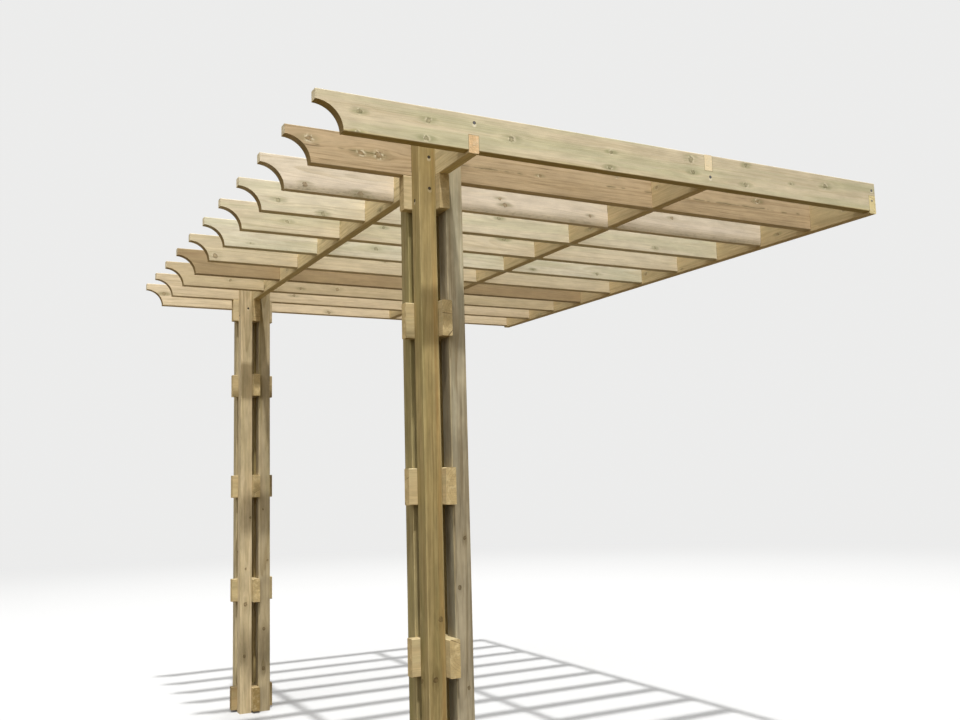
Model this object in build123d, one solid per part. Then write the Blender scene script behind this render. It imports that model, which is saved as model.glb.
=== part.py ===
from build123d import *
import os

os.makedirs("parts", exist_ok=True)

# A lean-to pergola of treated softwood, in millimetres, life size.
# X runs along the rafters from their shaped garden ends to the house wall, Y along the beams, Z up.
# The origin is the middle of the wall beam's back face, where the frame meets the wall.

# Stock timber
board_thickness = 44.0  # rafters, beams and the spacers of the posts
board_depth = 145.0
post_timber_side = 75.0  # each post is four of these round a cross of boards
eased_edge = 4.0  # round of every long edge, as planed

# Rafters
rafter_count = 11
rafter_length = 2860.0
bay_width = 316.0  # clear width between two rafters
right_bay_width = 332.0  # the first bay is a little wider than the rest
tail_tip_height = 40.0  # upright end above the hollow curve of the tail
waney_rafter = 3  # sawn near the bark: its lower right edge still has the round of the log
log_radius = 115.0
wane_height = 34.0  # how far the round comes up the face at the tail
wane_taper = 0.1  # degrees by which it widens towards the wall

# Beams
front_beam_setback = 610.0  # tail ends to the front beam's garden face
middle_beam_setback = 1780.0
beam_drop = 10.0  # front and wall beams hang this far below the rafters' undersides
front_lap_height = 72.0  # solid height of the front beam under each rafter
wall_lap_height = 90.0  # the same on the wall beam
middle_lap_height = 72.5  # solid height of the rafters under the middle beam

# Posts
post_rafters = {"right": 2, "left": 10}  # rafter that each post straddles, counted from the right
spacer_proud = 35.0  # spacers stand out of the post by this much on each side
spacer_lap_height = 72.5  # solid height of the spacers that follow the rafters, under the ones across them
foot_clearance = 12.0  # the lowest spacers are held off the ground, level on both posts
# Clear height above the spacers of each level
right_spacer_gaps = {"upper": 388.0, "middle": 523.0, "lower": 513.0, "foot": 519.0}
left_spacer_gaps = {"upper": 366.0, "middle": 521.0, "lower": 523.0}

# Places that follow from the sizes
wall_beam_bottom = -board_depth / 2
rafter_bottom = wall_beam_bottom + beam_drop
rafter_top = rafter_bottom + board_depth
head_spacer_z = rafter_bottom - board_depth
foot_spacer_z = head_spacer_z - sum(gap + board_depth for gap in right_spacer_gaps.values())
ground = foot_spacer_z - foot_clearance
tail_x = -rafter_length
front_beam_x = tail_x + front_beam_setback
middle_beam_x = tail_x + middle_beam_setback
wall_beam_x = -board_thickness
rafter_step = bay_width + board_thickness
frame_width = right_bay_width + board_thickness + (rafter_count - 2) * rafter_step + board_thickness
right_side_y = -frame_width / 2


def rafter_y(number):
    """The right face of a rafter, counted from 1 on the right."""
    if number == 1:
        return right_side_y
    return right_side_y + board_thickness + right_bay_width + (number - 2) * rafter_step


def space(x, y, z):
    """A box between two pairs of faces on each axis, for laps and notches."""
    size = [high - low for low, high in (x, y, z)]
    middle = [(high + low) / 2 for low, high in (x, y, z)]
    return Pos(*middle) * Box(*size)


def eased_section(width, depth):
    """The planed section of a timber with its four arrises eased, its corner at the origin."""
    return Pos(width / 2, depth / 2) * fillet(Rectangle(width, depth).vertices(), radius=eased_edge)


def board(length):
    """Board stock along X, on edge."""
    return extrude(Plane.YZ * eased_section(board_thickness, board_depth), amount=length)


def board_along_y(length):
    """Board stock along Y, on edge."""
    return Pos(board_thickness, 0, 0) * Rot(0, 0, 90) * board(length)


def post_timber(length):
    """Post stock standing upright."""
    return extrude(eased_section(post_timber_side, post_timber_side), amount=length)


# Levels of the laps
front_lap_z = wall_beam_bottom + front_lap_height
wall_lap_z = wall_beam_bottom + wall_lap_height
middle_lap_z = rafter_bottom + middle_lap_height
clear_above = rafter_top + board_depth
clear_below = wall_beam_bottom - board_depth


def wane(y):
    """What a board lacks along its lower right edge, where the log it was sawn from ended."""
    below = space((-rafter_length, 2 * rafter_length), (-log_radius, log_radius), (-log_radius, 0))
    log = Pos(rafter_length / 2, log_radius, 0) * Cylinder(log_radius, 4 * rafter_length, rotation=(0, 90, 0))
    return Pos(tail_x, y, rafter_bottom + wane_height) * Rot(0, -wane_taper, 0) * (below - log)


def make_rafter(number):
    """One rafter: a hollow curve under its tail, and a lap for each of the three beams."""
    y = rafter_y(number)
    faces_y = (y, y + board_thickness)
    rafter = Pos(tail_x, y, rafter_bottom) * board(rafter_length)
    if number == waney_rafter:
        rafter -= wane(y)
    curve = Cylinder(board_depth - tail_tip_height, 2 * board_thickness, rotation=(90, 0, 0))
    rafter -= Pos(tail_x, y + board_thickness / 2, rafter_bottom) * curve
    rafter -= space((front_beam_x, front_beam_x + board_thickness), faces_y, (clear_below, front_lap_z))
    rafter -= space((middle_beam_x, middle_beam_x + board_thickness), faces_y, (middle_lap_z, clear_above))
    rafter -= space((wall_beam_x, 0), faces_y, (clear_below, wall_lap_z))
    return rafter


def make_beam(x, bottom, lap_from, lap_to):
    """A beam across all the rafters, notched at each one between two levels."""
    beam = Pos(x, right_side_y, bottom) * board_along_y(frame_width)
    for number in range(1, rafter_count + 1):
        y = rafter_y(number)
        beam -= space((x, x + board_thickness), (y, y + board_thickness), (lap_from, lap_to))
    return beam


def make_spacer_cross(post_x, post_y, bottom, cross_bottom):
    """Two boards halved across each other: the tie follows the rafter, the cross piece the beam."""
    reach = post_timber_side + spacer_proud
    length = board_thickness + 2 * reach
    core_x = (post_x, post_x + board_thickness)
    core_y = (post_y, post_y + board_thickness)
    lap = cross_bottom + spacer_lap_height
    tie = Pos(post_x - reach, post_y, bottom) * board(length)
    tie -= space(core_x, core_y, (lap, bottom + 2 * board_depth))
    cross = Pos(post_x, post_y - reach, cross_bottom) * board_along_y(length)
    cross -= space(core_x, core_y, (cross_bottom - board_depth, lap))
    return {"tie": tie, "cross": cross}


parts = {}

for number in range(1, rafter_count + 1):
    parts[f"rafter_{number:02d}"] = make_rafter(number)

parts["front_beam"] = make_beam(front_beam_x, wall_beam_bottom, front_lap_z, clear_above)
parts["middle_beam"] = make_beam(middle_beam_x, rafter_bottom, clear_below, middle_lap_z)
parts["wall_beam"] = make_beam(wall_beam_x, wall_beam_bottom, wall_lap_z, clear_above)


def spacer_levels(gaps):
    """The undersides of a post's spacers, worked down from the head ones, which sit under the rafter."""
    levels = {"head": head_spacer_z}
    z = head_spacer_z
    for level, gap in gaps.items():
        z -= gap + board_depth
        levels[level] = z
    levels["foot"] = foot_spacer_z
    return levels


post_levels = {"right": spacer_levels(right_spacer_gaps), "left": spacer_levels(left_spacer_gaps)}

for side, rafter_number in post_rafters.items():
    post_y = rafter_y(rafter_number)
    rows_y = {"outer": post_y - post_timber_side, "inner": post_y + board_thickness}
    if side == "left":
        rows_y = {"outer": rows_y["inner"], "inner": rows_y["outer"]}
    rows_x = {"garden": front_beam_x - post_timber_side, "house": front_beam_x + board_thickness}
    for row, y in rows_y.items():
        for face, x in rows_x.items():
            timber = post_timber(rafter_top - ground)
            parts[f"{side}_post_{face}_{row}"] = Pos(x, y, ground) * timber
    for level, bottom in post_levels[side].items():
        # The head cross piece is under the front beam, which hangs lower than the rafter
        cross_bottom = bottom - beam_drop if level == "head" else bottom
        for piece, solid in make_spacer_cross(front_beam_x, post_y, bottom, cross_bottom).items():
            parts[f"{side}_post_{level}_{piece}"] = solid

for name, solid in parts.items():
    export_step(solid, f"parts/{name}.step")
    size = solid.bounding_box().size
    print(f"{name}: {size.X:.0f} x {size.Y:.0f} x {size.Z:.0f} mm")
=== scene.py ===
import bmesh
import bpy
import math
import random
from mathutils import Euler, Matrix, Vector


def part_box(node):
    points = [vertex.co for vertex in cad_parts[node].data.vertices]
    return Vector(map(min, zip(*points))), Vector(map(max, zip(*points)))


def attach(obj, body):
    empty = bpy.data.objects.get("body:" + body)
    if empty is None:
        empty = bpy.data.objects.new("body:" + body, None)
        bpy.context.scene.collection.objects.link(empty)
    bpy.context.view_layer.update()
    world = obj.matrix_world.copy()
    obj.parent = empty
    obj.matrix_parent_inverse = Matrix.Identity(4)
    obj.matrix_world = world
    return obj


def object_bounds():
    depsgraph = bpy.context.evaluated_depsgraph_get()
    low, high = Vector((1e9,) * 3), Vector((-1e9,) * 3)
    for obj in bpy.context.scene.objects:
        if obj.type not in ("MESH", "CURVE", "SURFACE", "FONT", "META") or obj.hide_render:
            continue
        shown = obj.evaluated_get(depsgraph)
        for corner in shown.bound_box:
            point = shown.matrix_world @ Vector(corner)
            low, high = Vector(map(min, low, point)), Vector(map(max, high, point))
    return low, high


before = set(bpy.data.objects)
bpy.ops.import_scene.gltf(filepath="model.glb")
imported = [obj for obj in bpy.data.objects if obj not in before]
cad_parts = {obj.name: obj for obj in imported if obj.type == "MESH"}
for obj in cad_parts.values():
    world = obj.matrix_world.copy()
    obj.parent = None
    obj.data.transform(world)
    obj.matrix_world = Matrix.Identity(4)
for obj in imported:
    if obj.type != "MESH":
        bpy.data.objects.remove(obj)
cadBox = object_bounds()
print("frame loaded:", len(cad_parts), "timbers")


# Node helpers

def tone(red, green, blue):
    # a colour as a picture shows it, 0 to 255, made linear for the shader
    channels = [c / 255 for c in (red, green, blue)]
    return [c / 12.92 if c <= 0.04045 else ((c + 0.055) / 1.055) ** 2.4 for c in channels] + [1.0]


def mixTone(first, second, share):
    return [a + (b - a) * share for a, b in zip(first, second)]


def putNode(tree, kind, sockets, **settings):
    # a node with its settings, its sockets linked to other sockets or set to values
    node = tree.nodes.new(kind)
    for name, value in settings.items():
        setattr(node, name, value)
    for socket, value in sockets.items():
        if isinstance(value, bpy.types.NodeSocket):
            tree.links.new(value, node.inputs[socket])
        else:
            node.inputs[socket].default_value = value
    return node


def calc(tree, operation, *values, clamp=False):
    sockets = dict(enumerate(values))
    return putNode(tree, "ShaderNodeMath", sockets, operation=operation, use_clamp=clamp).outputs[0]


def product(tree, result, *others):
    for other in others:
        result = calc(tree, "MULTIPLY", result, other)
    return result


def vectorCalc(tree, operation, *values):
    sockets = dict(enumerate(values))
    return putNode(tree, "ShaderNodeVectorMath", sockets, operation=operation).outputs["Vector"]


def vectorSize(tree, operation, *values):
    sockets = dict(enumerate(values))
    return putNode(tree, "ShaderNodeVectorMath", sockets, operation=operation).outputs["Value"]


def joinAxes(tree, *values):
    return putNode(tree, "ShaderNodeCombineXYZ", dict(enumerate(values))).outputs[0]


def splitAxes(tree, vector):
    return putNode(tree, "ShaderNodeSeparateXYZ", {0: vector}).outputs


def soften(tree, value, start, end, low=0.0, high=1.0):
    # a smooth step between two values
    sockets = {"Value": value, "From Min": start, "From Max": end, "To Min": low, "To Max": high}
    return putNode(tree, "ShaderNodeMapRange", sockets, interpolation_type="SMOOTHSTEP").outputs[0]


def blendTone(tree, share, first, second, mode="MIX"):
    sockets = {0: share, 6: first, 7: second}
    return putNode(tree, "ShaderNodeMix", sockets, data_type="RGBA", blend_type=mode).outputs[2]


# Timber: one finish for every board, with its own log, knots and stains

brownKnots = {
    "dark": tone(120, 98, 64),
    "heart": tone(166, 132, 88),
    "rim": tone(84, 68, 42),
    "smudge": tone(138, 130, 92),
}
greenKnots = {
    "dark": tone(110, 106, 74),
    "heart": tone(150, 144, 102),
    "rim": tone(86, 82, 56),
    "smudge": tone(142, 142, 102),
}
goldenKnots = {
    "dark": tone(96, 74, 42),
    "heart": tone(112, 86, 50),
    "rim": tone(76, 60, 34),
    "smudge": tone(118, 100, 58),
}
timberLook = {
    "early": tone(214, 201, 168),  # spring wood
    "late": tone(184, 164, 120),  # summer wood, the dark lines of the figure
    "figure": 0.36,  # how strongly the rings show
    "fibre": 0.3,  # and the finest lines between them
    "ringWidth": 0.0052,
    "pith": (0.012, 0.055),  # the log's middle, up and across from the board's own middle
    "cone": 0.010,  # how much the log narrows in a metre
    "wander": 0.022,  # how far the log bends to and fro
    "streak": tone(164, 146, 104),
    "streakShare": 0.3,
    "stain": tone(184, 186, 146),  # green of the preservative
    "stainShare": 0.3,
    "end": tone(196, 174, 128),
    "endFigure": 0.8,  # how strongly rings and saw marks show on it
    # pale wood for the arrises, the knots' halos and the cut ends; on the arrises it is partly wear and
    # partly painted highlight
    "arris": tone(232, 220, 190),
    "arrisShare": 0.35,
    "checkShare": 0.15,  # short dark cracks along the grain
    "knots": [],  # along from the low end, up from the middle, half width
    "knotTones": brownKnots,
    "knotShare": 0.7,
    "smudgeShare": 0.65,  # dark grain drawn out from each knot
    "haloShare": 0.3,  # pale wood beside it
    "blotch": 0.1,  # uneven light and dark from place to place
    "cracks": [],  # dark lines that waver along the grain: begin, finish, up and half width
    "marks": [],  # screw holes: along, up, across
    "tear": (0, -0.009, 0),  # from a hole to the pale wood torn beside it
    "tearShare": 0.8,
    "bands": [],  # stripes along the board, of colour or of painted highlight: up, half width, colour, share
    "laps": [],  # joint lines on the wide faces: middle along and up, half length and half height
    "under": None,  # the lower edge where it differs: its colour and share
    "hollow": 0.0,  # radius of the sawn curve under a tail
    "hollowTone": tone(138, 116, 72),
    "wane": 0.0,  # height of the bark's round above the lower edge
    "darkenAlong": (0.0, 1.0, 1.0),  # from here to there along the board it darkens to this share
}
timberDetails = {
    "endSplit": tone(84, 66, 42),
    # the bark's tones, darkened also as painted shade on the downward round
    "barkPale": tone(196, 186, 150),
    "barkDark": tone(134, 124, 88),
    "lapLine": tone(92, 76, 50),
    "tornWood": tone(238, 230, 206),
    # painted shade of a screw's sunk hole
    "hole": tone(56, 42, 28),
    "ringRipple": 1.6,  # in rings
    "ringStrength": (0.8, 0.2),  # how much one year's ring differs from the next, and the least of it
    "knotRise": 0.18,  # how fast a knot climbs along its board
    "knotShape": (0.8, 1, 0),  # less than 1 draws it out, along the board and across the grain
    "smearShape": (0.22, 0.7, 0),  # the same for the dark grain round it
    "knotRagged": 1.4,  # how uneven its outline is
    "knotRim": 0.82,  # where the rim lies, in half widths from the middle
    "knotRings": (13.0, 9.0),  # how close its own rings are, and how bent
    "knotContrast": (0.28, 0.5),
    "knotPale": 0.35,  # share of late wood, and then of heart, in its pale part
    "crackWaver": 0.022,
    "crackFade": 0.02,  # at both ends
    "crackStain": (6, 0.35),  # its width in widths of the crack, and its share
    "crackSplit": (0.3, 0.8),
    "sawMark": (0.56, 0.9),  # share and depth of tone
    "endPatchTone": 0.6,
    "endSplitShare": 0.8,
    "hollowEdge": (0.002, 0.0005),  # beyond the curve's radius
    "hollowShare": (0.7, 0.3),  # on end grain and everywhere
    "underLeast": 0.8,
    "barkRagged": 0.03,
    "barkEdge": (0.036, 0.062),  # below the top of the round, where bark begins and where it covers all
    "mottle": (0.26, 0.87),  # light and dark, and the least light
    "ringRelief": 0.5,
    "fibreRelief": 0.9,
    "knotRelief": 0.5,
    "sawRelief": 2.5,
    "roughness": (0.25, 0.64),  # in the streaks and everywhere
    "bump": 0.4,
    "bumpDepth": 0.0012,
    "shine": 0.14,
}
# for each noise: its scale per metre along, up and across the timber, a step of the seed, detail, roughness
woodNoise = {
    "bend": ((0.9, 0, 0), 0, 1.0, 0.5),
    "ripple": ((3.0, 24, 24), 3, 3.0, 0.5),
    "hairs": ((7, 520, 520), 5, 3.0, 0.6),
    "streaks": ((1.8, 85, 85), 7, 4.0, 0.6),
    "stains": ((1.1, 16, 16), 11, 3.0, 0.5),
    "clear": ((0.9, 14, 14), 13, 1.0, 0.5),
    "mottle": ((14, 55, 55), 17, 4.0, 0.6),
    "bands": ((2.6, 60, 60), 23, 3.0, 0.5),
    "sawMarks": ((0, 420, 30), 29, 2.0, 0.5),
    "endSplits": ((0, 14, 14), 31, 1.0, 0.5),
    "bark": ((45, 120, 120), 37, 4.0, 0.65),
    "ragged": ((65, 80, 80), 41, 3.0, 0.6),
    "endPatches": ((0, 40, 40), 43, 3.0, 0.5),
    "barkEdge": ((3, 0, 0), 47, 2.0, 0.5),
    "knotParts": ((105, 105, 105), 53, 2.0, 0.5),
    "blotches": ((7, 24, 24), 59, 3.0, 0.6),
    "checks": ((5, 230, 230), 61, 2.0, 0.5),
    "crackWaver": ((5, 0, 0), 67, 3.0, 0.5),
    "crackParts": ((11, 0, 0), 71, 2.0, 0.5),
}
noiseShift = (1.7, 0.9, 2.3)  # moves the noises of each timber to another place
# smooth steps: from, to, and the values at both where they aren't 0 and 1
woodSteps = {
    "sawn": (0.3, 0.85),
    "ringRise": (0.1, 0.85),
    "ringFall": (1.0, 0.88),
    "ringsClear": (0.32, 0.62, 0.25, 1.0),
    "streak": (0.45, 0.7),
    "stain": (0.44, 0.64),
    "band": (1.0, 0.2),
    "bandBroken": (0.34, 0.6, 0.2, 1.0),
    "check": (0.66, 0.71),
    "checkNear": (0.42, 0.6),
    "crackPart": (0.42, 0.56),
    "smudge": (1.5, 0.4),
    "smudgeBroken": (0.36, 0.6, 0.25, 1.0),
    "halo": (2.3, 1.1),
    "haloBroken": (0.46, 0.6),
    "knotRim": (0.26, 0.04),
    "rimBroken": (0.6, 0.42, 0.1, 0.8),
    "knot": (1.15, 0.85),
    "sawMark": (0.46, 0.62),
    "endSplit": (0.69, 0.76),
    "endPatch": (0.5, 0.7, 0.0, 0.5),
    "underBroken": (0.3, 0.6),
    "facingDown": (-0.05, -0.5),
    "facingOut": (-0.3, -0.6),
    "arris": (-0.0048, -0.0012),
    "arrisBroken": (0.3, 0.6, 0.2, 1.0),
    "barkSpeckle": (0.48, 0.66),
    "barkNearKnot": (2.6, 0.8, 0.35, 0.65),
    "lapLine": (0.0022, 0.0006),
    "lapBroken": (0.3, 0.55, 0.35, 0.9),
    "torn": (0.011, 0.005),
    "tornBroken": (0.36, 0.52),
    "hole": (0.0076, 0.006),
    "blotch": (0.3, 0.7),
}
sectionAxes = {0: (2, 1), 1: (2, 0), 2: (0, 1)}  # grain axis: the axes up and across the section


def noiseNode(tree, place, name, seed, extra=0.0):
    scale, step, detail, roughness = woodNoise[name]
    seed = seed + step + extra
    vector = vectorCalc(tree, "MULTIPLY_ADD", place, scale, tuple(seed * shift for shift in noiseShift))
    sockets = {"Vector": vector, "Scale": 1.0, "Detail": detail, "Roughness": roughness}
    return putNode(tree, "ShaderNodeTexNoise", sockets)


def noiseValue(tree, place, name, seed, extra=0.0):
    return noiseNode(tree, place, name, seed, extra).outputs[0]


def woodStep(tree, value, name):
    return soften(tree, value, *woodSteps[name])


def timberPlace(tree, nodeName):
    # where a point is in its own board: along the grain, up and across from the middle, in metres
    low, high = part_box(nodeName)
    size = high - low
    grain = max(range(3), key=lambda axis: size[axis])
    up, across = sectionAxes[grain]
    source = putNode(tree, "ShaderNodeTexCoord", {})
    point = splitAxes(tree, source.outputs["Object"])
    facing = splitAxes(tree, source.outputs["Normal"])
    start = (low[grain], (low[up] + high[up]) / 2, (low[across] + high[across]) / 2)
    flat = vectorCalc(tree, "SUBTRACT", joinAxes(tree, point[grain], point[up], point[across]), start)
    sawn = woodStep(tree, calc(tree, "ABSOLUTE", facing[grain]), "sawn")
    return flat, sawn, facing, (size[up] / 2, size[across] / 2)


def bendRoundKnots(tree, place, look, half):
    # the grain flows round each knot, and each knot points away from the log's middle
    pithUp, pithAcross = look["pith"]
    bent, core, eye = place, None, None
    faceAcross = -math.copysign(half[1], pithAcross)
    rise = timberDetails["knotRise"]
    for along, up, size in look["knots"]:
        direction = Vector((up - pithUp, faceAcross - pithAcross)).normalized()
        offset = vectorCalc(tree, "SUBTRACT", place, (along, up, faceAcross))
        axis = (1 / size, -rise * direction.x / size, -rise * direction.y / size)
        lengthways = vectorSize(tree, "DOT_PRODUCT", offset, axis)
        sideways = vectorSize(tree, "DOT_PRODUCT", offset, (0, direction.y / size, -direction.x / size))
        spot = joinAxes(tree, lengthways, sideways)
        reach = vectorSize(tree, "LENGTH", vectorCalc(tree, "MULTIPLY", spot, timberDetails["knotShape"]))
        smear = vectorSize(tree, "LENGTH", vectorCalc(tree, "MULTIPLY", spot, timberDetails["smearShape"]))
        core = reach if core is None else calc(tree, "MINIMUM", core, reach)
        eye = smear if eye is None else calc(tree, "MINIMUM", eye, smear)
        fade = calc(tree, "MAXIMUM", calc(tree, "POWER", smear, 2.0), 1.0)
        push = {0: (0, -direction.y * size, direction.x * size), 3: calc(tree, "DIVIDE", sideways, fade)}
        push = putNode(tree, "ShaderNodeVectorMath", push, operation="SCALE").outputs[0]
        bent = vectorCalc(tree, "ADD", bent, push)
    return bent, core, eye


def growthRings(tree, place, look, seed):
    # distance from the log's wandering middle, counted in rings
    width, wander = look["ringWidth"], look["wander"]
    pithUp, pithAcross = look["pith"]
    bend = noiseNode(tree, place, "bend", seed).outputs["Color"]
    middle = (0, -wander / 2 - pithUp, -wander / 2 - pithAcross)
    shifted = vectorCalc(tree, "MULTIPLY_ADD", bend, (0, wander, wander), middle)
    fromPith = vectorCalc(tree, "MULTIPLY", vectorCalc(tree, "ADD", place, shifted), (0, 1, 1))
    radius = vectorSize(tree, "LENGTH", fromPith)
    slope = vectorSize(tree, "DOT_PRODUCT", place, (-look["cone"] / width, 0, 0))
    ripple = product(tree, noiseValue(tree, place, "ripple", seed), timberDetails["ringRipple"])
    rings = calc(tree, "ADD", calc(tree, "MULTIPLY_ADD", radius, 1 / width, slope), ripple)
    whole = calc(tree, "FLOOR", rings)
    year = putNode(tree, "ShaderNodeTexWhiteNoise", {"W": whole}, noise_dimensions="1D")
    strength = calc(tree, "MULTIPLY_ADD", year.outputs["Value"], *timberDetails["ringStrength"])
    within = calc(tree, "FRACT", rings)
    dark = product(tree, woodStep(tree, within, "ringRise"), woodStep(tree, within, "ringFall"))
    clear = woodStep(tree, noiseValue(tree, place, "clear", seed), "ringsClear")
    return product(tree, dark, clear, strength), fromPith


def longFaces(tree, place, rings, streaks, look, seed):
    # the figure of the long faces, with streaks, stains, bands and short dark checks
    colour = blendTone(tree, product(tree, rings, look["figure"]), look["early"], look["late"])
    streaked = product(tree, woodStep(tree, streaks, "streak"), look["streakShare"])
    colour = blendTone(tree, streaked, colour, look["streak"])
    stained = woodStep(tree, noiseValue(tree, place, "stains", seed), "stain")
    colour = blendTone(tree, product(tree, stained, look["stainShare"]), colour, look["stain"])
    for up, reach, band, share in look["bands"]:
        offset = vectorCalc(tree, "SUBTRACT", place, (0, up, 0))
        away = calc(tree, "ABSOLUTE", vectorSize(tree, "DOT_PRODUCT", offset, (0, 1 / reach, 0)))
        broken = woodStep(tree, noiseValue(tree, place, "bands", seed, up), "bandBroken")
        colour = blendTone(tree, product(tree, woodStep(tree, away, "band"), broken, share), colour, band)
    checks = woodStep(tree, noiseValue(tree, place, "checks", seed), "check")
    checked = product(tree, checks, woodStep(tree, streaks, "checkNear"), look["checkShare"])
    return blendTone(tree, checked, colour, look["knotTones"]["rim"])


def crackLine(tree, colour, flat, fromEnd, crack, look, seed):
    # a dark line that wavers and breaks, with stained wood along it
    begin, finish, up, reach = crack
    waver, fade = timberDetails["crackWaver"], timberDetails["crackFade"]
    stainWidth, stainShare = timberDetails["crackStain"]
    splitWidth, splitShare = timberDetails["crackSplit"]
    offset = vectorCalc(tree, "SUBTRACT", flat, (0, up + waver / 2, 0))
    offset = vectorSize(tree, "DOT_PRODUCT", offset, (0, 1, 0))
    wavering = calc(tree, "MULTIPLY_ADD", noiseValue(tree, flat, "crackWaver", seed, up), waver, offset)
    away = calc(tree, "ABSOLUTE", wavering)
    parts = woodStep(tree, noiseValue(tree, flat, "crackParts", seed, up), "crackPart")
    inside = soften(tree, fromEnd, begin, begin + fade)
    parts = product(tree, parts, product(tree, inside, soften(tree, fromEnd, finish, finish - fade)))
    stained = product(tree, soften(tree, away, reach * stainWidth, reach), parts, stainShare)
    colour = blendTone(tree, stained, colour, look["knotTones"]["smudge"])
    split = product(tree, soften(tree, away, reach, reach * splitWidth), parts, splitShare)
    return blendTone(tree, split, colour, look["knotTones"]["rim"])


def paintKnots(tree, colour, relief, flat, knot, eye, streaks, look, seed):
    # a smudge of dark grain, and in it the knot, part pale and part dark, with a broken rim
    tones = look["knotTones"]
    outline, rimAt, paleShare = [timberDetails[name] for name in ("knotRagged", "knotRim", "knotPale")]
    close, bent = timberDetails["knotRings"]
    ragged = noiseValue(tree, flat, "ragged", seed)
    uneven = calc(tree, "MULTIPLY_ADD", ragged, outline, calc(tree, "SUBTRACT", knot, outline / 2))
    parts = noiseValue(tree, flat, "knotParts", seed)
    smudged = product(tree, woodStep(tree, eye, "smudge"), woodStep(tree, streaks, "smudgeBroken"))
    colour = blendTone(tree, product(tree, smudged, look["smudgeShare"]), colour, tones["smudge"])
    haloed = product(tree, woodStep(tree, uneven, "halo"), woodStep(tree, ragged, "haloBroken"))
    colour = blendTone(tree, product(tree, haloed, look["haloShare"]), colour, look["arris"])
    # inside a knot its own rings, and here and there a dark split
    own = calc(tree, "MULTIPLY_ADD", uneven, close, product(tree, parts, bent))
    own = calc(tree, "MULTIPLY_ADD", calc(tree, "SINE", own), *timberDetails["knotContrast"])
    own = calc(tree, "ADD", own, calc(tree, "SUBTRACT", parts, 0.5), clamp=True)
    pale = mixTone(mixTone(look["early"], look["late"], paleShare), tones["heart"], paleShare)
    core = blendTone(tree, own, tones["dark"], pale)
    rim = woodStep(tree, calc(tree, "ABSOLUTE", calc(tree, "SUBTRACT", uneven, rimAt)), "knotRim")
    core = blendTone(tree, product(tree, rim, woodStep(tree, parts, "rimBroken")), core, tones["rim"])
    knotty = woodStep(tree, uneven, "knot")
    colour = blendTone(tree, product(tree, knotty, look["knotShare"]), colour, core)
    return colour, calc(tree, "MULTIPLY_ADD", knotty, timberDetails["knotRelief"], relief)


def sawnEnds(tree, colour, relief, flat, sawn, fromPith, rings, look, seed):
    # the cut ends: the rings seen square on, saw marks and small splits that run from the log's middle
    marks = noiseValue(tree, flat, "sawMarks", seed)
    spokes = vectorCalc(tree, "NORMALIZE", fromPith)
    splits = woodStep(tree, noiseValue(tree, spokes, "endSplits", seed), "endSplit")
    patches = woodStep(tree, noiseValue(tree, flat, "endPatches", seed), "endPatch")
    markShare, markTone = timberDetails["sawMark"]
    end = blendTone(tree, product(tree, rings, look["endFigure"]), look["end"], look["late"])
    sawMarks = soften(tree, marks, *woodSteps["sawMark"], 0.0, markShare * look["endFigure"])
    end = blendTone(tree, sawMarks, end, mixTone(look["end"], look["streak"], markTone))
    end = blendTone(tree, patches, end, mixTone(look["end"], look["arris"], timberDetails["endPatchTone"]))
    splits = product(tree, splits, timberDetails["endSplitShare"])
    end = blendTone(tree, splits, end, timberDetails["endSplit"])
    relief = calc(tree, "ADD", relief, product(tree, marks, timberDetails["sawRelief"], sawn))
    return blendTone(tree, sawn, colour, end), relief


def lowerEdge(tree, colour, facing, streaks, look):
    underTone, share = look["under"]
    broken = soften(tree, streaks, *woodSteps["underBroken"], timberDetails["underLeast"] * share, share)
    amount = product(tree, woodStep(tree, facing[2], "facingDown"), broken)
    return blendTone(tree, amount, colour, underTone)


def hollowCurve(tree, colour, flat, sawn, half, look):
    # the sawn curve under a tail is darker than the upright tip above it
    middle = (0, -half[0], 0)
    outer, inner = timberDetails["hollowEdge"]
    away = vectorSize(tree, "DISTANCE", vectorCalc(tree, "MULTIPLY", flat, (1, 1, 0)), middle)
    within = soften(tree, away, look["hollow"] + outer, look["hollow"] + inner)
    amount = product(tree, within, calc(tree, "MULTIPLY_ADD", sawn, *timberDetails["hollowShare"]))
    return blendTone(tree, amount, colour, look["hollowTone"])


def easedArrises(tree, colour, flat, half, streaks, look):
    # paler along the arrises: partly wear, partly painted highlight where the rounded edges catch the light
    corner = splitAxes(tree, vectorCalc(tree, "SUBTRACT", vectorCalc(tree, "ABSOLUTE", flat), (0, *half)))
    inside = calc(tree, "MINIMUM", corner[1], corner[2])
    wearAndHighlight = product(tree, woodStep(tree, inside, "arris"), woodStep(tree, streaks, "arrisBroken"))
    return blendTone(tree, product(tree, wearAndHighlight, look["arrisShare"]), colour, look["arris"])


def barkAndShadeRound(tree, colour, flat, facing, half, eye, look, seed):
    # what the bark left along a lower edge, partly the bark's own colour and partly painted shade where the
    # round turns down
    ragged = timberDetails["barkRagged"]
    speckle = noiseValue(tree, flat, "bark", seed)
    lower = vectorSize(tree, "DOT_PRODUCT", flat, (0, -1, 0))
    lower = calc(tree, "ADD", calc(tree, "MULTIPLY_ADD", speckle, ragged, lower),
                 product(tree, noiseValue(tree, flat, "barkEdge", seed), ragged))
    clean, barky = [half[0] - look["wane"] + edge for edge in timberDetails["barkEdge"]]
    outward = woodStep(tree, facing[1], "facingOut")
    barkAndShade = product(tree, soften(tree, lower, clean, barky), outward)
    speckled = woodStep(tree, speckle, "barkSpeckle")
    bark = blendTone(tree, speckled, timberDetails["barkPale"], timberDetails["barkDark"])
    return blendTone(tree, product(tree, barkAndShade, woodStep(tree, eye, "barkNearKnot")), colour, bark)


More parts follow.
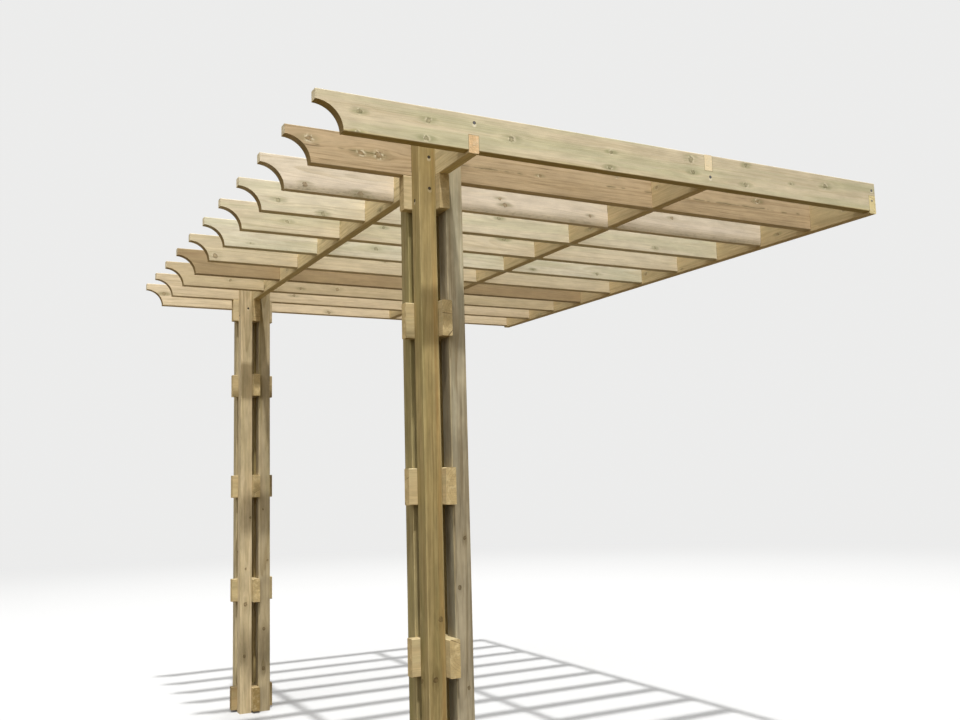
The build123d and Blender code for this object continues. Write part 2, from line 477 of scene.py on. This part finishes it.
def lapLine(tree, colour, flat, mottle, lap):
    # the thin dark line round a lap
    alongMiddle, upMiddle, halfAlong, halfUp = lap
    reach = vectorCalc(tree, "ABSOLUTE", vectorCalc(tree, "SUBTRACT", flat, (alongMiddle, upMiddle, 0)))
    sides = splitAxes(tree, vectorCalc(tree, "SUBTRACT", reach, (halfAlong, halfUp, 0)))
    outside = calc(tree, "MAXIMUM", sides[0], sides[1])
    line = product(tree, woodStep(tree, outside, "lapLine"), woodStep(tree, mottle, "lapBroken"))
    return blendTone(tree, line, colour, timberDetails["lapLine"])


def nearest(tree, place, points):
    away = None
    for point in points:
        distance = vectorSize(tree, "DISTANCE", place, tuple(point))
        away = distance if away is None else calc(tree, "MINIMUM", away, distance)
    return away


def screwHoles(tree, colour, flat, mottle, look):
    # sunk screws: painted shade for the hole round each head, with pale torn wood beside it
    hole = nearest(tree, flat, look["marks"])
    beside = nearest(tree, flat, [Vector(mark) + Vector(look["tear"]) for mark in look["marks"]])
    torn = product(tree, woodStep(tree, beside, "torn"), woodStep(tree, mottle, "tornBroken"))
    colour = blendTone(tree, product(tree, torn, look["tearShare"]), colour, timberDetails["tornWood"])
    return blendTone(tree, woodStep(tree, hole, "hole"), colour, timberDetails["hole"])


def unevenLight(tree, place, fromEnd, mottle, hairs, look, seed):
    # light and dark from place to place, and darker along part of the board
    blotch, fibre = look["blotch"], look["fibre"]
    begin, finish, share = look["darkenAlong"]
    blotches = noiseValue(tree, place, "blotches", seed)
    light = product(tree, calc(tree, "MULTIPLY_ADD", mottle, *timberDetails["mottle"]),
                    soften(tree, blotches, *woodSteps["blotch"], 1 - blotch, 1 + blotch / 2),
                    calc(tree, "MULTIPLY_ADD", hairs, fibre, 1 - fibre / 2),
                    soften(tree, fromEnd, begin, finish, 1.0, share))
    return joinAxes(tree, light, light, light)


def timberFinish(nodeName, look, seed):
    material = bpy.data.materials.new("timber_" + nodeName)
    material.use_nodes = True
    tree = material.node_tree
    shader = tree.nodes["Principled BSDF"]
    flat, sawn, facing, half = timberPlace(tree, nodeName)
    place, knot, eye = bendRoundKnots(tree, flat, look, half)
    rings, fromPith = growthRings(tree, place, look, seed)
    fromEnd = vectorSize(tree, "DOT_PRODUCT", flat, (1, 0, 0))
    streaks = noiseValue(tree, place, "streaks", seed)
    hairs = noiseValue(tree, place, "hairs", seed)
    mottle = noiseValue(tree, place, "mottle", seed)

    # the colour in layers, each one over the last
    colour = longFaces(tree, place, rings, streaks, look, seed)
    relief = product(tree, hairs, timberDetails["fibreRelief"])
    relief = calc(tree, "MULTIPLY_ADD", rings, timberDetails["ringRelief"], relief)
    for crack in look["cracks"]:
        colour = crackLine(tree, colour, flat, fromEnd, crack, look, seed)
    if look["knots"]:
        colour, relief = paintKnots(tree, colour, relief, flat, knot, eye, streaks, look, seed)
    colour, relief = sawnEnds(tree, colour, relief, flat, sawn, fromPith, rings, look, seed)
    if look["under"]:
        colour = lowerEdge(tree, colour, facing, streaks, look)
    if look["hollow"]:
        colour = hollowCurve(tree, colour, flat, sawn, half, look)
    colour = easedArrises(tree, colour, flat, half, streaks, look)
    if look["wane"]:
        colour = barkAndShadeRound(tree, colour, flat, facing, half, eye, look, seed)
    for lap in look["laps"]:
        colour = lapLine(tree, colour, flat, mottle, lap)
    if look["marks"]:
        colour = screwHoles(tree, colour, flat, mottle, look)

    shade = unevenLight(tree, place, fromEnd, mottle, hairs, look, seed)
    tree.links.new(blendTone(tree, 1.0, colour, shade, "MULTIPLY"), shader.inputs["Base Color"])
    roughness = calc(tree, "MULTIPLY_ADD", streaks, *timberDetails["roughness"])
    tree.links.new(roughness, shader.inputs["Roughness"])
    bump = {"Strength": timberDetails["bump"], "Distance": timberDetails["bumpDepth"], "Height": relief}
    tree.links.new(putNode(tree, "ShaderNodeBump", bump).outputs[0], shader.inputs["Normal"])
    shader.inputs["Specular IOR Level"].default_value = timberDetails["shine"]
    return material


def setFinish(name, material):
    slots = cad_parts[name].data.materials
    slots.clear()
    slots.append(material)


knotScatter = {
    "first": (0.1, 0.4),  # from the timber's low end
    "apart": (0.18, 0.6),
    "halfWidth": (0.005, 0.012),
    "spread": 0.85,  # share of the half depth
    "margin": 0.08,  # free of knots at the far end
}


def scatterKnots(picks, length, halfUp, count):
    # knots come in whorls, a hand's width to half a metre apart
    spread = knotScatter["spread"]
    knots = []
    along = picks.uniform(*knotScatter["first"])
    while along < length - knotScatter["margin"] and len(knots) < count:
        up = picks.uniform(-spread, spread) * halfUp
        knots.append((along, up, picks.uniform(*knotScatter["halfWidth"])))
        along += picks.uniform(*knotScatter["apart"])
    return knots


def drawPith(picks, up, across):
    return picks.uniform(-up, up), picks.uniform(*across)


boardHalfDepth = 0.0725
boardHalfThickness = 0.022

# Rafters, counted from the right

rafterLook = {
    "end": mixTone(timberLook["early"], timberLook["arris"], 0.4),
    "hollow": 0.105,
    # painted shade: the rafters darken towards their wall ends
    "darkenAlong": (0.5, 2.9, 0.86),
    # along, up, half length, half height; the cut ends of the beams show in them
    "laps": [
        (0.632, -0.0825, 0.022, 0.072),
        (1.802, 0.076, 0.022, 0.076),
        (2.840, -0.0645, 0.024, 0.072),
    ],
}
rafterTones = {
    1: {"early": tone(214, 200, 170), "stainShare": 0.45, "knotTones": greenKnots, "haloShare": 0.6,
        "under": (tone(164, 141, 78), 0.95), "bands": [(-0.068, 0.009, tone(194, 180, 118), 0.55)]},
    2: {"early": tone(196, 173, 138), "late": tone(150, 126, 88), "stainShare": 0.0,
        "streak": tone(136, 112, 75), "streakShare": 0.45, "haloShare": 0.75, "checkShare": 0.7,
        "cracks": [(0.1, 2.75, 0.003, 0.002), (1.37, 1.43, 0.034, 0.002), (0.55, 0.62, -0.02, 0.0015)],
        "bands": [(-0.003, 0.006, tone(148, 124, 88), 0.45)], "under": (tone(216, 198, 164), 0.7)},
    3: {"early": tone(226, 213, 191), "stainShare": 0.05, "wane": 0.034, "streakShare": 0.15,
        # the pale band is a painted highlight on the bark's round
        "haloShare": 0.1, "knotShare": 0.8, "bands": [(-0.016, 0.026, tone(240, 226, 206), 0.5)]},
    4: {"early": tone(226, 216, 190), "knotTones": greenKnots},
    5: {"early": tone(223, 210, 182), "knotTones": greenKnots},
    6: {"early": tone(223, 215, 191), "knotTones": greenKnots},
    7: {"early": tone(214, 199, 168), "stainShare": 0.05},
    8: {"early": tone(168, 145, 110), "late": tone(130, 107, 73), "stainShare": 0.05},
    9: {"early": tone(202, 184, 149), "stainShare": 0.05},
    10: {"early": tone(218, 200, 168), "stainShare": 0.05},
    11: {"early": tone(226, 208, 176), "stainShare": 0.05},
}
knotsSeen = {  # metres from the tail and above the board's middle, and the knot's half width
    1: [(0.166, 0.011, 0.008), (0.442, 0.020, 0.008), (0.431, -0.052, 0.009), (0.800, -0.001, 0.010),
        (1.277, 0.012, 0.007), (1.268, -0.054, 0.008), (1.704, 0.040, 0.010), (1.712, -0.017, 0.008),
        (2.024, 0.056, 0.007), (2.016, -0.038, 0.009), (2.519, 0.018, 0.009), (2.297, 0.001, 0.005),
        (0.159, -0.068, 0.006)],
    2: [(0.098, 0.026, 0.011), (0.315, -0.004, 0.010), (0.393, -0.002, 0.012), (1.160, 0.008, 0.006),
        (1.582, 0.058, 0.006), (2.449, 0.040, 0.009)],
    3: [(0.196, -0.047, 0.009), (0.451, -0.060, 0.011), (1.156, 0.002, 0.007), (1.183, -0.026, 0.009),
        (1.672, -0.027, 0.006), (2.194, 0.018, 0.008)],
    4: [(0.182, -0.016, 0.009), (0.398, -0.059, 0.008), (1.350, 0.020, 0.008), (2.360, -0.045, 0.006)],
}
# metres from the tail and up from the lower edge
endRafterScrews = [(0.636, 0.112), (1.809, 0.045), (2.838, 0.106), (2.836, 0.055)]
endSides = {1: -1, 11: 1}  # the end rafters and the way that their outer faces look along Y
rafterDraws = {
    "picks": 31,
    "seed": 5.3,
    "pith": (0.03, (0.04, 0.09)),
    "cone": (0.006, 0.014),
    "knots": (2.8, boardHalfDepth, 7),  # over this length and half depth, and at most so many
}


def finishRafters():
    for number, tones in rafterTones.items():
        picks = random.Random(number * rafterDraws["picks"])
        look = dict(timberLook, **rafterLook)
        look["pith"] = drawPith(picks, *rafterDraws["pith"])
        look["cone"] = picks.choice((-1, 1)) * picks.uniform(*rafterDraws["cone"])
        look["knots"] = knotsSeen.get(number) or scatterKnots(picks, *rafterDraws["knots"])
        look.update(tones)
        if number in endSides:
            across = endSides[number] * boardHalfThickness
            look["marks"] = [(along, up - boardHalfDepth, across) for along, up in endRafterScrews]
        name = f"rafter_{number:02d}"
        setFinish(name, timberFinish(name, look, number * rafterDraws["seed"]))


finishRafters()
print("rafters finished")

# Beams

beamLook = {
    "early": tone(204, 184, 142),
    "late": tone(156, 132, 90),
    "figure": 0.34,
    "endFigure": 0.4,
    "stainShare": 0.1,
    "streak": tone(146, 124, 82),
}
beamTones = {
    "front_beam": {"end": tone(233, 198, 151), "early": tone(218, 200, 156)},
    "middle_beam": {"end": tone(240, 222, 184)},
    "wall_beam": {"end": tone(224, 208, 156)},
}
beamDraws = {
    "picks": (5, 17),  # the first and the step to the next
    "seed": (80, 7.1),
    "pith": (0.03, (0.05, 0.08)),
    "knots": (3.6, boardHalfDepth, 9),
}


def finishBeams():
    firstPick, nextPick = beamDraws["picks"]
    firstSeed, nextSeed = beamDraws["seed"]
    for number, (name, tones) in enumerate(beamTones.items()):
        picks = random.Random(number * nextPick + firstPick)
        look = dict(timberLook, **beamLook)
        look["pith"] = drawPith(picks, *beamDraws["pith"])
        look["knots"] = scatterKnots(picks, *beamDraws["knots"])
        look.update(tones)
        setFinish(name, timberFinish(name, look, firstSeed + number * nextSeed))


finishBeams()
print("beams finished")

# Posts

postLook = {
    "early": tone(170, 150, 102),
    "late": tone(126, 105, 60),
    "figure": 0.5,
    "fibre": 0.55,
    "stain": tone(134, 124, 76),
    "stainShare": 0.5,
    "streak": tone(116, 94, 52),
    "streakShare": 0.45,
    "checkShare": 0.3,
    "arris": tone(198, 180, 132),
    "arrisShare": 0.4,
    "knotTones": goldenKnots,
    "knotShare": 0.8,
    "smudgeShare": 0.35,
    "haloShare": 0.1,
    "blotch": 0.16,
    "tear": (-0.009, 0, 0),
    "tearShare": 0.3,
}
spacerLook = {
    "early": tone(192, 172, 130),
    "late": tone(148, 126, 84),
    "stainShare": 0.15,
    "end": tone(192, 169, 122),
    "arris": tone(230, 212, 168),
    # the spacers' arrises paler still: wear and painted highlight
    "arrisShare": 0.6,
    "blotch": 0.14,
}
# the lowest spacers, just off the ground
dampEnd = {"end": tone(142, 118, 72), "early": tone(178, 156, 114)}
postTones = {
    "right_post_foot_tie": dampEnd,
    "right_post_foot_cross": dampEnd,
    "left_post_foot_tie": dampEnd,
    "left_post_foot_cross": dampEnd,
    "right_post_head_tie": {"early": tone(214, 194, 152)},
    "left_post_head_tie": {"early": tone(206, 188, 150)},
    "right_post_garden_outer": {
        # darker towards the foot
        "darkenAlong": (1.9, 0.9, 0.8),
        "bands": [(0.022, 0.012, tone(172, 132, 76), 0.4), (0.0345, 0.003, tone(206, 182, 126), 0.5),
                  (-0.031, 0.004, tone(188, 170, 122), 0.35)]},
    "right_post_garden_inner": {"early": tone(152, 138, 98)},
    "right_post_house_outer": {
        "early": tone(190, 177, 148), "stain": tone(190, 185, 158), "blotch": 0.2, "checkShare": 0.5,
        # darker towards the foot
        "darkenAlong": (2.65, 1.3, 0.7)},
    "left_post_garden_outer": {"early": tone(194, 178, 142), "stainShare": 0.25},
    "left_post_garden_inner": {
        "early": tone(206, 188, 152), "figure": 0.35, "stainShare": 0.2, "streakShare": 0.25,
        "checkShare": 0.15},
    "left_post_house_inner": {"early": tone(176, 161, 130), "stainShare": 0.3, "streakShare": 0.3},
}
postDraws = {
    "picks": (3, 13),
    "seed": (120, 3.9),
    "pith": (0.05, (0.05, 0.09)),
    "timberKnots": (2.4, 0.03, 4),
    "spacerKnots": (0.26, 0.06, 1),
    "knottedSpacers": 0.4,  # share of them
}
postScrewHeights = {1: (0.001, -0.131), 0: (-0.175,)}  # on the faces that look along Y, and along X
postScrewInset = 0.009  # from the timber's middle toward the post's


def postScrewPlaces(name):
    # sunk screws near the top of a garden timber's two outward faces: each point and the way its face looks
    if "_garden_" not in name:
        return []
    low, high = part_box(name)
    middle = (low + high) / 2
    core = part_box(name.split("_post_")[0] + "_post_head_cross")
    coreMiddle = (core[0] + core[1]) / 2
    places = []
    for axis, heights in postScrewHeights.items():
        other = 1 - axis
        outward = math.copysign(1, middle[axis] - coreMiddle[axis])
        inward = math.copysign(postScrewInset, coreMiddle[other] - middle[other])
        for height in heights:
            point = Vector((0, 0, height))
            point[axis] = high[axis] if outward > 0 else low[axis]
            point[other] = middle[other] + inward
            facing = Vector((0, 0, 0))
            facing[axis] = outward
            places.append((point, facing))
    return places


def finishPosts():
    names = [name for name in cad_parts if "_post_" in name]
    firstPick, nextPick = postDraws["picks"]
    firstSeed, nextSeed = postDraws["seed"]
    for number, name in enumerate(sorted(names)):
        picks = random.Random(number * nextPick + firstPick)
        look = dict(timberLook)
        look["pith"] = drawPith(picks, *postDraws["pith"])
        if name.endswith(("_tie", "_cross")):
            look.update(spacerLook)
            if picks.random() < postDraws["knottedSpacers"]:
                look["knots"] = scatterKnots(picks, *postDraws["spacerKnots"])
        else:
            look.update(postLook)
            look["knots"] = scatterKnots(picks, *postDraws["timberKnots"])
            low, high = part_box(name)
            start = Vector((low.z, (low.x + high.x) / 2, (low.y + high.y) / 2))
            points = [point for point, facing in postScrewPlaces(name)]
            look["marks"] = [tuple(Vector((point.z, point.x, point.y)) - start) for point in points]
        look.update(postTones.get(name, {}))
        setFinish(name, timberFinish(name, look, firstSeed + number * nextSeed))


finishPosts()
print("posts finished")

# Screws

screw = {
    "headRadius": 0.0050,
    "headHeight": 0.0008,
    "headSides": 16,
    "bevel": 0.6,  # share of the head's height
    "recessRadius": 0.0026,
    "recessDepth": 0.0006,
    "metallic": 0.7,
    "spots": 900.0,  # to the metre
    "spotDetail": 3.0,
    "spotEdge": (0.3, 0.7),
    "roughness": (0.3, 0.5),
}


def metalFinish(name, dark, light):
    material = bpy.data.materials.new(name)
    material.use_nodes = True
    tree = material.node_tree
    shader = tree.nodes["Principled BSDF"]
    source = putNode(tree, "ShaderNodeTexCoord", {})
    sockets = {"Vector": source.outputs["Object"], "Scale": screw["spots"], "Detail": screw["spotDetail"]}
    spots = putNode(tree, "ShaderNodeTexNoise", sockets).outputs[0]
    tree.links.new(blendTone(tree, spots, dark, light), shader.inputs["Base Color"])
    tree.links.new(soften(tree, spots, *screw["spotEdge"], *screw["roughness"]), shader.inputs["Roughness"])
    shader.inputs["Metallic"].default_value = screw["metallic"]
    return material


def addScrewHead(mesh, point, direction):
    # a round head with its drive recess, standing on a face that looks along the direction
    bevel = screw["headHeight"] * screw["bevel"]
    head = bmesh.new()
    bmesh.ops.create_circle(head, cap_ends=True, segments=screw["headSides"], radius=screw["headRadius"])
    base = head.faces[:]
    wall = bmesh.ops.extrude_face_region(head, geom=base)
    top = [face for face in wall["geom"] if isinstance(face, bmesh.types.BMFace)]
    raised = [vert for vert in wall["geom"] if isinstance(vert, bmesh.types.BMVert)]
    bmesh.ops.translate(head, verts=raised, vec=(0, 0, screw["headHeight"]))
    bmesh.ops.bevel(head, geom=[edge for edge in top[0].edges], offset=bevel, segments=2,
                    profile=0.5, affect="EDGES", material=-1)
    crown = max(head.faces, key=lambda face: face.calc_center_median().z + face.calc_area())
    inset = screw["headRadius"] - bevel - screw["recessRadius"]
    bmesh.ops.inset_region(head, faces=[crown], thickness=inset)
    floor = bmesh.ops.extrude_face_region(head, geom=[crown])
    sunk = [vert for vert in floor["geom"] if isinstance(vert, bmesh.types.BMVert)]
    bmesh.ops.delete(head, geom=[crown], context="FACES_ONLY")
    bmesh.ops.translate(head, verts=sunk, vec=(0, 0, -screw["recessDepth"]))
    bmesh.ops.recalc_face_normals(head, faces=head.faces)
    turn = Vector((0, 0, 1)).rotation_difference(Vector(direction)).to_matrix().to_4x4()
    head.transform(Matrix.Translation(point) @ turn)
    part = bpy.data.meshes.new("head")
    head.to_mesh(part)
    head.free()
    mesh.from_mesh(part)
    bpy.data.meshes.remove(part)


def addScrews(name, places, material):
    mesh = bmesh.new()
    for point, direction in places:
        addScrewHead(mesh, point, direction)
    data = bpy.data.meshes.new(name)
    mesh.to_mesh(data)
    mesh.free()
    data.materials.append(material)
    piece = bpy.data.objects.new(name, data)
    bpy.context.scene.collection.objects.link(piece)
    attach(piece, "root")


def rafterScrews():
    # through the end rafters' outer faces into the beams
    places = []
    for number, side in endSides.items():
        low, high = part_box(f"rafter_{number:02d}")
        y = low.y if side < 0 else high.y
        for along, up in endRafterScrews:
            places.append((Vector((low.x + along, y, low.z + up)), (0, side, 0)))
    return places


def postScrews():
    return [place for name in sorted(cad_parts) for place in postScrewPlaces(name)]


zinc = metalFinish("zinc", tone(76, 76, 82), tone(132, 131, 134))
# a darker copy of the zinc for the posts' screws: painted shade, as if their heads sat deep in their holes
shadedZinc = metalFinish("zinc_painted_shade", tone(46, 40, 34), tone(86, 78, 68))
addScrews("rafter_screws", rafterScrews(), zinc)
addScrews("post_screws", postScrews(), shadedZinc)
print("screws set")

# Camera, as the photograph was taken

view = {
    "place": (-3.9081, -4.9856, -1.3227),
    "turn": (97.180, 1.563, -27.842),  # tilt, roll and heading in degrees
    "lens": 36.194,
    "sensor": 36.0,
    "farthest": 200.0,
}


def placeCamera():
    data = bpy.data.cameras.new("camera")
    data.lens = view["lens"]
    data.sensor_width = view["sensor"]
    data.sensor_fit = "HORIZONTAL"
    data.clip_end = view["farthest"]
    camera = bpy.data.objects.new("camera", data)
    turn = Euler([math.radians(angle) for angle in view["turn"]]).to_matrix()
    camera.matrix_world = Matrix.Translation(view["place"]) @ turn.to_4x4()
    bpy.context.scene.collection.objects.link(camera)
    bpy.context.scene.camera = camera


# Studio: pale floor and sky, a soft sun where the photograph's was, a wide fill and a lamp behind

studio = {
    "background": (0.84, 0.84, 0.835, 1.0),
    "floor": (0.56, 0.56, 0.555, 1.0),
    "floorBounce": (0.108, 0.075, 0.026, 1.0),  # as ground seen only by the light that bounces off it
    "floorRadius": 40.0,
    "floorSides": 96,
    "floorGap": 0.0005,  # below the posts' feet
    "floorRoughness": 0.9,
    "floorShine": 0.1,
    "fade": (5.0, 16.0),  # from here to there the floor turns into the background
    "sky": 0.36,
    "skyColour": (1.0, 1.0, 1.0, 1.0),
}
lamps = {  # the way that the light comes from, its strength and its width in degrees
    "key": ((-0.096, -0.382, 0.919), 3.4, 1.5),  # as the shadows on the photographed posts fall
    "fill": ((-0.60, -0.60, 0.53), 1.7, 80.0),
    "back": ((0.5, 0.75, 0.45), 1.3, 30.0),
}


def seenRays(tree):
    # 1 for what the camera sees, straight or in gloss and glass, and 0 for light that bounces
    path = putNode(tree, "ShaderNodeLightPath", {})
    mirrored = calc(tree, "MAXIMUM", path.outputs["Is Glossy Ray"], path.outputs["Is Transmission Ray"])
    return calc(tree, "MAXIMUM", path.outputs["Is Camera Ray"], mirrored)


def floorFinish(middle):
    material = bpy.data.materials.new("studio_floor")
    material.use_nodes = True
    tree = material.node_tree
    shader = tree.nodes["Principled BSDF"]
    seen = seenRays(tree)
    colour = blendTone(tree, seen, studio["floorBounce"], studio["floor"])
    tree.links.new(colour, shader.inputs["Base Color"])
    shader.inputs["Roughness"].default_value = studio["floorRoughness"]
    shader.inputs["Specular IOR Level"].default_value = studio["floorShine"]
    source = putNode(tree, "ShaderNodeTexCoord", {})
    away = vectorSize(tree, "DISTANCE", source.outputs["Object"], middle)
    far = product(tree, soften(tree, away, *studio["fade"]), seen)
    glow = putNode(tree, "ShaderNodeEmission", {"Color": studio["background"], "Strength": 1.0}).outputs[0]
    above = putNode(tree, "ShaderNodeMixShader", {0: far, 1: shader.outputs[0], 2: glow}).outputs[0]
    # from below the floor is clear, so that the undersides can be seen
    under = putNode(tree, "ShaderNodeNewGeometry", {}).outputs["Backfacing"]
    clear = putNode(tree, "ShaderNodeBsdfTransparent", {}).outputs[0]
    whole = putNode(tree, "ShaderNodeMixShader", {0: under, 1: above, 2: clear}).outputs[0]
    tree.links.new(whole, tree.nodes["Material Output"].inputs["Surface"])
    return material


def addFloor():
    ground = cadBox[0].z
    middle = (cadBox[0] + cadBox[1]) / 2
    sides, radius = studio["floorSides"], studio["floorRadius"]
    mesh = bmesh.new()
    bmesh.ops.create_circle(mesh, cap_ends=True, segments=sides, radius=radius)
    bmesh.ops.translate(mesh, verts=mesh.verts, vec=(middle.x, middle.y, ground - studio["floorGap"]))
    data = bpy.data.meshes.new("studio_floor")
    mesh.to_mesh(data)
    mesh.free()
    data.materials.append(floorFinish((middle.x, middle.y, ground)))
    floor = bpy.data.objects.new("studio_floor", data)
    bpy.context.scene.collection.objects.link(floor)


def addSky():
    world = bpy.data.worlds.new("studio")
    world.use_nodes = True
    bpy.context.scene.world = world
    tree = world.node_tree
    light = putNode(tree, "ShaderNodeBackground", {"Color": studio["skyColour"], "Strength": studio["sky"]})
    shown = putNode(tree, "ShaderNodeBackground", {"Color": studio["background"], "Strength": 1.0})
    sockets = {0: seenRays(tree), 1: light.outputs[0], 2: shown.outputs[0]}
    sky = putNode(tree, "ShaderNodeMixShader", sockets).outputs[0]
    tree.links.new(sky, tree.nodes["World Output"].inputs["Surface"])


def addLamps():
    for name, (source, strength, width) in lamps.items():
        data = bpy.data.lights.new(name, "SUN")
        data.energy = strength
        data.angle = math.radians(width)
        lamp = bpy.data.objects.new(name, data)
        lamp.rotation_euler = Vector(source).to_track_quat("Z", "Y").to_euler()
        bpy.context.scene.collection.objects.link(lamp)


placeCamera()
addFloor()
addSky()
addLamps()
bpy.context.scene.view_settings.view_transform = "Standard"
print("studio lit")
